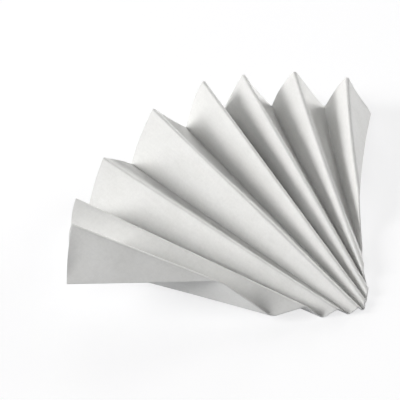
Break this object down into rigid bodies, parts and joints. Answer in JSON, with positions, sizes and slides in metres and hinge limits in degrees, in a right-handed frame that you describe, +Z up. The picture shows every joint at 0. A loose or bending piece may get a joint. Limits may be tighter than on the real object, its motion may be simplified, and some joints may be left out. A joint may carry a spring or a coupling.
{
  "type": "pleated filter paper",
  "caption": "Round sheet of white filter paper folded in half and fan folded into a pleated double-layer wedge, lying on its folds.",
  "frame": {"origin": "on the plane the sheet lies on, under the middle of its overall length and width", "axes": "+Z up, +Y the way the fan opens (from the row of small tips towards the rim), +X across the fan"},
  "size_m": [0.1524, 0.1202, 0.0304],
  "materials": {
    "paper": "matt uncoated, slightly fibrous"
  },
  "bodies": {
    "root": {"filter_paper": "paper"}
  },
  "joints": []
}
